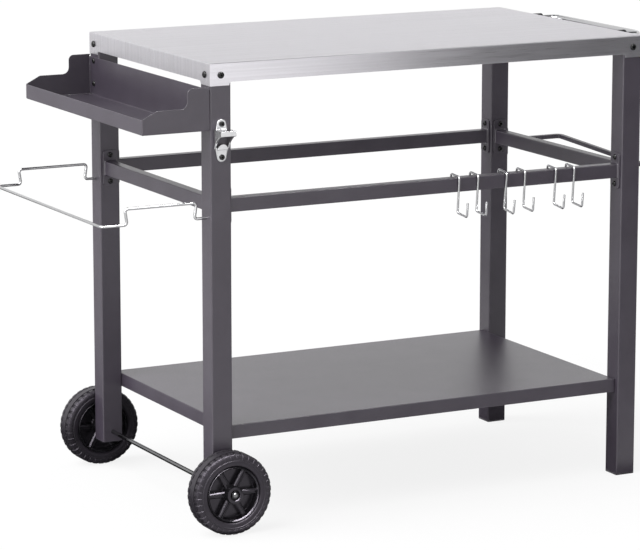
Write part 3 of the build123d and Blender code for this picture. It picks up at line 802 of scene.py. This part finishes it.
# How far in from the tyre's side, with the depth below the tread or the height above the seat
wall_points = (
    (0, 0.0095), (0.0006, 0.0101), (0.0006, 0.0113), (0, 0.0119), (0, 0.0129), (0.0006, 0.0135),
    (0.0004, 0.0175),
)
bead_points = ((0.0012, 0.0022), (0.0026, 0.0007), (0.0045, 0))
seam_match = 0.00002
rubber_dark = (0.012, 0.0102, 0.0135, 1)
rubber_light = (0.021, 0.0185, 0.0235, 1)
# Edge colour of the rubber: wear, and a painted highlight along its edges
rubber_worn_and_highlit = (0.085, 0.083, 0.087, 1)
tyre_rubber = grained_finish(
    "tyre_rubber", (rubber_dark, rubber_light, rubber_worn_and_highlit), roughness=(0.3, 0.46), scale=1100.0,
    relief=(0.0003, 0.3), rub_and_highlight=(0.0014, 1.6),
    constants={"Specular IOR Level": 0.45, "Specular Tint": violet_gloss},
)
for side, outward in wheel_sides:
    low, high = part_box(f"{side}_tyre")
    middle = (low + high) / 2
    radius = (high.z - low.z) / 2
    half = (high.y - low.y) / 2
    hub_low, hub_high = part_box(f"{side}_hub")
    seat = (hub_high.z - hub_low.z) / 2
    lug = band_half + 2 * groove_slope + groove_width
    crown = [
        (band_half, radius), (band_half + groove_slope, radius - groove_depth),
        (lug - groove_slope, radius - groove_depth), (lug, radius), (half - lug_flat, radius),
    ]
    shoulder = []
    for step in range(shoulder_steps + 1):
        turn = step * pi / 2 / shoulder_steps
        along = half - shoulder_radius * (1 - sin(turn))
        shoulder.append((along, radius - shoulder_radius * (1 - cos(turn))))
    wall = [(half - inward, radius - drop) for inward, drop in wall_points]
    wall += [(half - inward, seat + rise) for inward, rise in bead_points]
    outer = crown + shoulder + wall
    section = outer + [(-along, reach) for along, reach in reversed(outer)]
    first = len(crown) - 2
    notched = dict(enumerate(notch_depths, start=first))
    notched.update({len(section) - 1 - index: depth for index, depth in notched.items()})
    sideways = Vector((1, 0, 0))
    shape = bmesh.new()
    column = [shape.verts.new(middle + outward * along + sideways * reach) for along, reach in section]
    for index in range(len(column)):
        shape.edges.new((column[index - 1], column[index]))
    pitch = 2 * pi / tread_pitches
    loop = shape.edges[:]
    for share, sink in (
        (block_share / 2, 0), (block_share / 2, 0), (slope_share, 1),
        (1 - block_share - 2 * slope_share, 0), (slope_share, -1),
    ):
        geom = bmesh.ops.extrude_edge_only(shape, edges=loop)["geom"]
        fresh = set(of_kind(BMVert, geom))
        loop = [edge for edge in of_kind(BMEdge, geom) if fresh.issuperset(edge.verts)]
        follow = {}
        for vert in fresh:
            others = [edge.other_vert(vert) for edge in vert.link_edges]
            follow[vert] = next(other for other in others if other not in fresh)
        order = {old: index for index, old in enumerate(column)}
        column = sorted(fresh, key=lambda vert: order[follow[vert]])
        bmesh.ops.rotate(shape, cent=middle, matrix=Matrix.Rotation(share * pitch, 3, outward), verts=column)
        for index, (inwards, aside) in notched.items():
            away = column[index].co - middle
            axial = outward * away.dot(outward)
            radial = (away - axial).normalized()
            column[index].co -= (radial * inwards + axial.normalized() * aside) * sink
    bmesh.ops.spin(
        shape, geom=all_of(shape), cent=middle, axis=outward, angle=2 * pi - pitch, steps=tread_pitches - 1,
        use_duplicate=True,
    )
    bmesh.ops.remove_doubles(shape, verts=shape.verts[:], dist=seam_match)
    bmesh.ops.recalc_face_normals(shape, faces=shape.faces[:])
    name, body, node = f"{side}_wheel_tyre", f"{side}_wheel", f"{side}_tyre"
    add_piece(name, shape, tyre_rubber, "tyre_rubber", body, node, sharp=32)

# Spice tray: one steel sheet folded up into a low front, stepped sides and a tall back, coated charcoal.
# It hangs on the outer faces of the left legs, by two screws in each.
tray_sheet = 0.0012
tray_fold = 0.0022
tray_back_height = 0.069
tray_shoulder_height = 0.0395
tray_front_height = 0.026
tray_ear_depth = 0.042
tray_shoulder_depth = 0.098
tray_ear_radius = 0.009
tray_throat_radius = 0.012
tray_corner_steps = 6
tray_match = 0.00001
tray_low, tray_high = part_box("spice_tray")
ear_front = tray_high.x - tray_ear_depth
shoulder_level = tray_low.z + tray_shoulder_height
outline = [
    (tray_high.x, tray_low.z), (tray_low.x, tray_low.z), (tray_low.x, tray_low.z + tray_front_height),
    (tray_high.x - tray_shoulder_depth, shoulder_level), (ear_front, shoulder_level),
    (ear_front, tray_high.z), (tray_high.x, tray_high.z), (tray_high.x, tray_low.z + tray_back_height),
]
shape = bmesh.new()
verts = [shape.verts.new((x, tray_low.y, z)) for x, z in outline]
panel = shape.faces.new(verts)
bent = [shape.edges.get((verts[index - 1], verts[index])) for index in (0, 1, 2)]
grow_loop(shape, bent, (0, tray_high.y - tray_low.y, 0))
twin = of_kind(BMVert, bmesh.ops.duplicate(shape, geom=[panel])["geom"])
bmesh.ops.translate(shape, vec=(0, tray_high.y - tray_low.y, 0), verts=twin)
bmesh.ops.remove_doubles(shape, verts=shape.verts[:], dist=tray_match)
for z, radius in ((shoulder_level, tray_throat_radius), (tray_high.z, tray_ear_radius)):
    spots = [
        vert for vert in shape.verts if abs(vert.co.x - ear_front) + abs(vert.co.z - z) < tray_match
    ]
    rounded(shape, spots, radius, tray_corner_steps, "VERTICES")
bmesh.ops.recalc_face_normals(shape, faces=shape.faces[:])
floor = min(shape.faces, key=lambda face: face.calc_center_median().z)
if floor.normal.z > 0:
    bmesh.ops.reverse_faces(shape, faces=shape.faces[:])
uprights = [edge for edge in edges_along(shape.edges, 2) if not edge.is_boundary]
rounded(shape, list(floor.edges) + uprights, tray_fold, fold_steps)
tray = add_piece("tray_sheet", shape, powder_coat, "frame_coat", "frame", "spice_tray")
give_wall(tray, tray_sheet, sheet_edge)
screw_set("tray_screw_set", "tray_screws", m5_screw, [
    leg_spot(side, "left", 0, 1, tray_sheet, height)
    for side in ("front", "back") for height in two_levels("tray_screws", frame_screw)
])

# Bag ring: one bright chromed wire, bent into two stepped arms and a crossbar.
# Its ends push into holes in the left legs and it pulls out by hand.
ring_step_start = 0.022
ring_step_length = 0.123
ring_step_lean = 0.004
ring_bend = 0.005
ring_corner = 0.009
wire_sides = 16
bend_steps = 6
wire_end = 0.0004
# The last chrome colour is for the edges: a painted highlight along the wire
chrome_tones = ((0.5, 0.5, 0.512, 1), (0.56, 0.56, 0.568, 1), (0.64, 0.64, 0.65, 1))
bright_chrome = grained_finish(
    "bright_chrome", chrome_tones, roughness=(0.06, 0.12), scale=500.0,
    relief=(0.00005, 0.1), rub_and_highlight=(0.0004, 1.0), constants=bare_metal,
)


def bent_rod(shape, corners, bends, end_chamfer):
    """Draw a section, which is a shape's loop of edges at the first corner, along runs and round bends."""
    loop = shape.edges[:]
    here = corners[0]
    for before, corner, after, bend in zip(corners, corners[1:], corners[2:], bends):
        arrive, leave = (corner - before).normalized(), (after - corner).normalized()
        turn = arrive.angle(leave)
        setback = bend * tan(turn / 2)
        loop = grow_loop(shape, loop, corner - arrive * setback - here)
        axis = arrive.cross(leave).normalized()
        spun = bmesh.ops.spin(
            shape, geom=loop, cent=corner - arrive * setback + axis.cross(arrive) * bend, axis=axis,
            angle=turn, steps=bend_steps,
        )["geom_last"]
        loop = of_kind(BMEdge, spun)
        here = corner + leave * setback
    grow_loop(shape, loop, corners[-1] - here)
    caps = bmesh.ops.holes_fill(shape, edges=open_edges(shape))["faces"]
    bmesh.ops.recalc_face_normals(shape, faces=shape.faces[:])
    rounded(shape, list({edge for face in caps for edge in face.edges}), end_chamfer, edge_steps)
    return shape


def round_section(radius, start, towards):
    """A circle at the start of a rod, facing along its first run."""
    shape = bmesh.new()
    place = standing(start, towards - start)
    bmesh.ops.create_circle(shape, segments=wire_sides, radius=radius, matrix=place)
    return shape


ring_low, ring_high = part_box("bag_ring")
leg_left_face = legs["front", "left"][0].x
arm_y = (legs["front", "left"][0].y + legs["front", "left"][1].y) / 2
ring_radius = arm_y - ring_low.y
near = leg_left_face - ring_step_start
far = near - ring_step_length
level, raised = ring_low.z + ring_radius, ring_high.z - ring_radius
arm = [
    (ring_high.x, level), (near, level), (near + ring_step_lean, raised),
    (far - ring_step_lean, raised), (far, level), (ring_low.x + ring_radius, level),
]
corners = [Vector((x, arm_y, z)) for x, z in arm] + [Vector((x, -arm_y, z)) for x, z in reversed(arm)]
bends = [ring_bend] * 4 + [ring_corner] * 2 + [ring_bend] * 4
ring = bent_rod(round_section(ring_radius, corners[0], corners[1]), corners, bends, wire_end)
add_piece("ring_wire", ring, bright_chrome, "bright_wire", "bag_ring", "bag_ring")

# Bottle opener: a plated casting with an eared plate, a hood that hangs over the cap and a half-round tooth.
# Two screws hold it to the front of the front left leg.
opener_plate = 0.004
opener_ear_radius = 0.009
hood_top = 0.019
hood_lip_height = 0.009
hood_roof = 0.004
hood_wall = 0.003
hood_lip = 0.004
hood_foot_drop = 0.014
hood_hollow = 0.004
hood_throat = 0.014
tooth_radius = 0.0095
tooth_reach = 0.005
tooth_drop = 0.015
cast_round = 0.0015
cast_steps = 3
throat_steps = 8
cast_grain = 0.0004
ear_sides = 40
# The last colour of the casting is for the edges: a painted highlight along them
cast_tones = ((0.55, 0.55, 0.563, 1), (0.62, 0.62, 0.63, 1), (0.74, 0.74, 0.75, 1))
cast_chrome = grained_finish(
    "plated_casting", cast_tones, roughness=(0.12, 0.22), scale=320.0,
    relief=(0.0003, 0.18), rub_and_highlight=(0.0008, 1.0), constants=bare_metal,
)
opener_low, opener_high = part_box("bottle_opener")
opener_height = opener_high.z - opener_low.z
opener_width = opener_high.x - opener_low.x
hood_reach = opener_high.y - opener_low.y
on_leg = Vector(((opener_low.x + opener_high.x) / 2, opener_high.y, (opener_low.z + opener_high.z) / 2))
ear = opener_height / 2 - opener_ear_radius
window_top = hood_top - hood_roof
window_foot = hood_wall - hood_foot_drop
castings = []
for level, upward in ((window_top, 1), (window_foot, -1)):
    plate = bmesh.new()
    for height, radius in ((-ear, opener_ear_radius), (0, opener_width / 2), (ear, opener_ear_radius)):
        for depth in (0, opener_plate):
            place = Matrix.Translation((0, height, depth))
            bmesh.ops.create_circle(plate, segments=ear_sides, radius=radius, matrix=place)
    hull = bmesh.ops.convex_hull(plate, input=plate.verts[:])
    bmesh.ops.delete(plate, geom=of_kind(BMVert, hull["geom_interior"]), context="VERTS")
    loose = [edge for edge in plate.edges if not edge.link_faces]
    bmesh.ops.delete(plate, geom=loose, context="EDGES")
    bmesh.ops.dissolve_limit(plate, angle_limit=radians(0.5), verts=plate.verts[:], edges=plate.edges[:])
    rounded(plate, list(highest(plate).edges), cast_round, cast_steps)
    bmesh.ops.bisect_plane(
        plate, geom=all_of(plate), plane_co=(0, level, 0), plane_no=(0, upward, 0), clear_inner=True
    )
    bmesh.ops.holes_fill(plate, edges=open_edges(plate))
    castings.append(plate)

lip_foot = Vector((hood_reach, hood_top - hood_lip_height))
wall_foot = Vector((opener_plate, -hood_foot_drop))
slope = (wall_foot - lip_foot).normalized()
throat = (lip_foot + wall_foot) / 2 + Vector((slope.y, -slope.x)) * 2 * hood_hollow
side_outline = [(0, hood_top), (hood_reach, hood_top), lip_foot, throat, wall_foot, (0, -hood_foot_drop)]
for start in (-opener_width / 2, opener_width / 2 - hood_wall):
    flank = bmesh.new()
    verts = [flank.verts.new((start, height, depth)) for depth, height in side_outline]
    flank.faces.new(verts)
    rounded(flank, [verts[side_outline.index(throat)]], hood_throat, throat_steps, "VERTICES")
    drawn_out(flank, flank.faces[:], (hood_wall, 0, 0))
    castings.append(flank)
bar = bmesh.new()
half = opener_width / 2
block(bar, Vector((-half, window_top, 0)), Vector((half, hood_top, hood_reach)))
block(bar, Vector((-half, lip_foot.y, hood_reach - hood_lip)), Vector((half, hood_top, hood_reach)))
castings.append(bar)

tooth = bmesh.new()
place = Matrix.Translation((0, -tooth_drop, 0))
bmesh.ops.create_circle(tooth, cap_ends=True, segments=ear_sides, radius=tooth_radius, matrix=place)
bmesh.ops.bisect_plane(
    tooth, geom=all_of(tooth), plane_co=(0, -tooth_drop, 0), plane_no=(0, 1, 0), clear_inner=True
)
drawn_out(tooth, tooth.faces[:], (0, 0, opener_plate + tooth_reach))
castings.append(tooth)
shape = bmesh.new()
for part in castings:
    bmesh.ops.recalc_face_normals(part, faces=part.faces[:])
    shape.from_mesh(as_mesh("casting", part))
upright = Matrix.Translation(on_leg) @ Matrix.Rotation(pi / 2, 4, "X")
bmesh.ops.transform(shape, matrix=upright, verts=shape.verts[:])
opener = add_piece("opener_casting", shape, cast_chrome, "cast_chrome", "frame", "bottle_opener")
fused = opener.modifiers.new("one_casting", "REMESH")
fused.mode = "VOXEL"
fused.voxel_size = cast_grain
fused.use_smooth_shade = True
eased = opener.modifiers.new("eased_edges", "SMOOTH")
eased.factor = 0.5
eased.iterations = 5
screw_set("opener_screw_set", "opener_screws", m5_screw, [
    leg_spot("front", "left", 1, 1, opener_plate, height)
    for height in two_levels("opener_screws", frame_screw)
])

# Hooks: six pieces of bright wire, bent square, hung over the front rail where they slide by hand.
# Each leans a little on the rail's front edges.
hook_leans = (4.5, 5.0, 8.0, 4.5, 5.5, 5.0)
hook_bend = 0.004
hook_seat_gap = 0.0003
hook_throat_play = 0.001
hook_stem = 0.064
hook_jaw = 0.033
hook_tip = 0.025
hook_tail = 0.014
rail_low, rail_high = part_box("rail_front")
rail_middle = (rail_low + rail_high) / 2
rail_face = rail_middle.y - rail_depth / 2
lower_edge = Vector((0, rail_face, rail_middle.z - rail_height / 2))
upper_edge = Vector((0, rail_face, rail_middle.z + rail_height / 2))
steepest = radians(max(hook_leans))
for number, lean in enumerate(hook_leans, start=1):
    low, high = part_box(f"hook_{number}")
    wire_radius = (high.x - low.x) / 2
    reach = wire_radius + hook_seat_gap
    across = Vector((0, cos(radians(lean)), sin(radians(lean))))
    upward = Vector((0, -sin(radians(lean)), cos(radians(lean))))
    corner = Vector(((low.x + high.x) / 2, 0, 0))
    corner += across * (lower_edge.dot(across) - reach) + upward * (upper_edge.dot(upward) + reach)
    throat = rail_depth * cos(steepest) + rail_height * sin(steepest) + 2 * reach + hook_throat_play
    corners = [
        corner + across * throat - upward * hook_tail, corner + across * throat, corner,
        corner - upward * hook_stem, corner - upward * hook_stem - across * hook_jaw,
        corner - upward * (hook_stem - hook_tip) - across * hook_jaw,
    ]
    hook = bent_rod(round_section(wire_radius, corners[0], corners[1]), corners, [hook_bend] * 4, wire_end)
    add_piece(f"hook_{number}_wire", hook, bright_chrome, "bright_wire", f"hook_{number}", f"hook_{number}")

# Push handle: a bent bright rod that stands out from the right skirt on two plastic collars.
# A long screw from inside the skirt passes each collar into the end of the rod.
handle_bend = 0.016
handle_end = 0.0008
collar_round = 0.0015
collar_flange = 0.004
handle_low, handle_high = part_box("push_handle")
handle_radius = (handle_high.z - handle_low.z) / 2
handle_level = (handle_low.z + handle_high.z) / 2
handle_half = handle_high.y - handle_radius
handle_out = handle_high.x - handle_radius
corners = [
    Vector((handle_low.x, handle_half, handle_level)), Vector((handle_out, handle_half, handle_level)),
    Vector((handle_out, -handle_half, handle_level)), Vector((handle_low.x, -handle_half, handle_level)),
]
rod = bent_rod(round_section(handle_radius, corners[0], corners[1]), corners, [handle_bend] * 2, handle_end)
add_piece("handle_rod", rod, bright_chrome, "bright_wire", "frame", "push_handle")
collar_low, collar_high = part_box("handle_collars")
collar_radius = (collar_high.z - collar_low.z) / 2
shape = bmesh.new()
for y in (-handle_half, handle_half):
    foot = Vector((collar_low.x, y, handle_level))
    length = collar_high.x - collar_low.x
    turn_profile(shape, [
        (0, top_screw / 2), (0, collar_radius), (collar_flange, collar_radius),
        (collar_flange + collar_round / 3, collar_radius - collar_round),
        (collar_flange + collar_round, collar_radius - collar_round),
        (collar_flange + collar_round * 4 / 3, collar_radius - collar_round / 3),
        (length - collar_round, collar_radius - collar_round / 3),
        (length, collar_radius - collar_round * 4 / 3), (length, top_screw / 2),
    ], foot, Vector((1, 0, 0)), round_steps)
add_piece("handle_collar_pair", shape, black_plastic, "black_plastic", "frame", "handle_collars")
skirt_inside = top_high.x - top_sheet
screw_set("handle_screw_set", "handle_screws", m6_long_screw, [
    ((skirt_inside, y, handle_level), (-1, 0, 0)) for y in (-handle_half, handle_half)
])

# Towel bar: square steel bar bent once and welded to a plate, coated like the frame.
# Two screws hold the plate to the back right leg; the free end hangs a little lower.
towel_size = 0.008
towel_droop = 2.8
towel_length = 0.3
towel_bend = 0.009
towel_corner = 0.0008
towel_corner_steps = 3
towel_plate_thickness = 0.003
towel_plate_half = Vector((0, 0.014, 0.028))
towel_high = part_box("towel_bar")[1]
leg_low, leg_high = legs["back", "right"]
towel_level = sum(two_levels("towel_bar_screws", frame_screw)) / 2
root = Vector((leg_high.x + towel_plate_thickness / 2, (leg_low.y + leg_high.y) / 2, towel_level))
bend = Vector((towel_high.x - towel_size / 2, root.y, root.z))
run = Vector((0, -cos(radians(towel_droop)), -sin(radians(towel_droop))))
section = bmesh.new()
bmesh.ops.create_grid(section, x_segments=1, y_segments=1, size=towel_size / 2)
bmesh.ops.delete(section, geom=section.faces[:], context="FACES_ONLY")
twist = Matrix.Rotation(radians(towel_droop), 4, "X") @ Matrix.Rotation(pi / 2, 4, "Y")
bmesh.ops.transform(section, matrix=Matrix.Translation(root) @ twist, verts=section.verts[:])
bar = bent_rod(section, [root, bend, bend + run * towel_length], [towel_bend], wire_end)
lengths = [edge for edge in bar.edges if edge.calc_face_angle(0) > radians(ridge_angle)]
rounded(bar, lengths, towel_corner, towel_corner_steps)
plate_low = Vector((leg_high.x, root.y, root.z)) - towel_plate_half
plate_high = Vector((leg_high.x + towel_plate_thickness, root.y, root.z)) + towel_plate_half
rounded_block(bar, plate_low, plate_high, 0, plate_corner, plate_steps)
towel_bar = add_piece("towel_bar_rod", bar, powder_coat, "frame_coat", "frame", "towel_bar")
soften(towel_bar, plate_edge)
screw_set("towel_bar_screw_set", "towel_bar_screws", m5_screw, [
    leg_spot("back", "right", 0, 1, towel_plate_thickness, height)
    for height in two_levels("towel_bar_screws", frame_screw)
])

# Floor and light: a white sweep under a soft even sky, with one broad lamp high on the left.
# Dark, grey and glowing white cards, which the camera doesn't see, give the metal something to reflect.
floor_size = 60.0
floor_white = (0.92, 0.92, 0.92, 1)
floor_share = 0.85
sky_strength = 0.45
lamp_strength = 3.3
lamp_spread = 60
lamp_side = Vector((-0.7, 0.0, 0.71))
full_white = (1, 1, 1, 1)
black = (0, 0, 0, 1)
dark = (0.045, 0.045, 0.048, 1)
dim = (0.065, 0.065, 0.069, 1)
mid = (0.25, 0.25, 0.26, 1)
grey = (0.45, 0.45, 0.46, 1)
card_glow = 1.3


def seen_share(tree):
    """1 where a surface is seen straight, in a reflection or through glass."""
    path = put(tree, "ShaderNodeLightPath").outputs
    mirrored = reckoned(tree, "MAXIMUM", path["Is Camera Ray"], path["Is Glossy Ray"])
    return reckoned(tree, "MAXIMUM", mirrored, path["Is Transmission Ray"])


def add_card(name, low, high, colour, glow):
    """A flat card of the set, lying or upright, in one plain colour."""
    shape = bmesh.new()
    corners = [low, (high[0], *low[1:]), high, (low[0], *high[1:])]
    shape.faces.new([shape.verts.new(corner) for corner in corners])
    card = add_object(name, as_mesh(name, shape))
    finish = new_finish(name, {
        "Base Color": colour, "Roughness": 1.0, "Specular IOR Level": 0.0,
        "Emission Color": full_white, "Emission Strength": glow,
    })[0]
    card.data.materials.append(finish)
    return card


half = floor_size / 2
floor = add_card("floor", (-half, -half, 0), (half, half, 0), floor_white, 0)
tree = floor.active_material.node_tree
shine = put(tree, "ShaderNodeEmission", {"Color": full_white, "Strength": 1.0})
share = reckoned(tree, "MULTIPLY", seen_share(tree), floor_share)
paint = tree.nodes["Principled BSDF"]
look = put(tree, "ShaderNodeMixShader", {0: share, 1: paint.outputs[0], 2: shine.outputs[0]})
tree.links.new(look.outputs[0], tree.nodes["Material Output"].inputs["Surface"])

world = bpy.data.worlds.new("studio")
world.use_nodes = True
bpy.context.scene.world = world
tree = world.node_tree
sky = tree.nodes["Background"]
sky.inputs["Color"].default_value = full_white
strength = put(tree, "ShaderNodeMapRange", {"Value": seen_share(tree), "To Min": sky_strength, "To Max": 1.0})
tree.links.new(strength.outputs["Result"], sky.inputs["Strength"])

# The brushed worktop would spread the lamps all over its face, so it has only the sky and the cards
unlit = bpy.data.collections.new("without_lamps")
unlit.objects.link(worktop)
unlit.collection_objects[0].light_linking.link_state = "EXCLUDE"

lamp = bpy.data.lights.new("left_lamp", "SUN")
lamp.energy = lamp_strength
lamp.angle = radians(lamp_spread)
sun = add_object("left_lamp", lamp)
sun.rotation_euler = lamp_side.to_track_quat("Z", "Y").to_euler()
sun.light_linking.receiver_collection = unlit

# Two more lamps show only in reflections: a strip for the upright corners and a long one for edges and screws
for name, place, turn, size, power in (
    ("strip_lamp", (-3.0, -1.3, 1.0), (90, 0, -67), (0.3, 2.0), 22.0),
    ("top_lamp", (-0.85, -1.25, 2.3), (0, 0, 16), (3.2, 0.35), 130.0),
):
    glint = bpy.data.lights.new(name, "AREA")
    glint.shape = "RECTANGLE"
    glint.size, glint.size_y = size
    glint.energy = power
    holder = add_object(name, glint)
    holder.location = place
    holder.rotation_euler = [radians(angle) for angle in turn]
    holder.visible_camera = False
    holder.visible_diffuse = False
    holder.light_linking.receiver_collection = unlit

for name, low, high, colour, glow in (
    ("dark_card_right", (0.69, -1.6, 0), (3.2, -1.6, 1.25), dim, 0),
    ("dark_card_behind", (-0.9, 1.4, 0.005), (4, 5, 0.005), dark, 0),
    ("dark_card_left", (-2.8, 2.5, 0.004), (-1.5, 4.1, 0.004), dark, 0),
    ("dark_card_below", (-0.75, -0.3, 0.003), (0.7, 0.6, 0.003), dark, 0),
    ("dark_card_ring", (-0.75, 0.6, 0.003), (-0.3, 1.4, 0.003), dark, 0),
    ("dark_card_above", (-0.6, -0.9, 2.6), (3, 0.3, 2.6), dark, 0),
    ("grey_card_left", (-4, 4.7, 0.004), (-1.5, 6.4, 0.004), mid, 0),
    ("grey_card_above", (-0.6, 0.3, 2.6), (3, 2.7, 2.6), grey, 0),
    ("white_card_front", (-0.4, -1.6, 0.4), (0.45, -1.6, 1.0), black, card_glow),
    ("grey_card_front", (-0.1, -2.2, 0.004), (2.2, -0.45, 0.004), grey, 0),
    ("white_card_behind", (0.6, 2.5, 0.2), (2.4, 2.5, 0.78), black, card_glow),
):
    card = add_card(name, low, high, colour, glow)
    card.visible_camera = False
    card.visible_diffuse = False
    card.visible_shadow = False

# Camera: where the photograph was taken from, in front of the cart and to its left.
# It has a long lens, stands about six metres away and looks a little down on the worktop.
camera_place = (-2.7401, -5.1668, 1.5121)
camera_tilt = 78.9
camera_turn = -27.43
camera = bpy.data.cameras.new("camera")
camera.lens = 186.2
camera.sensor_width = 36.0
camera.clip_end = 200.0
viewer = add_object("camera", camera)
viewer.location = camera_place
viewer.rotation_euler = (radians(camera_tilt), 0, radians(camera_turn))
bpy.context.scene.camera = viewer
bpy.context.scene.view_settings.view_transform = "Standard"
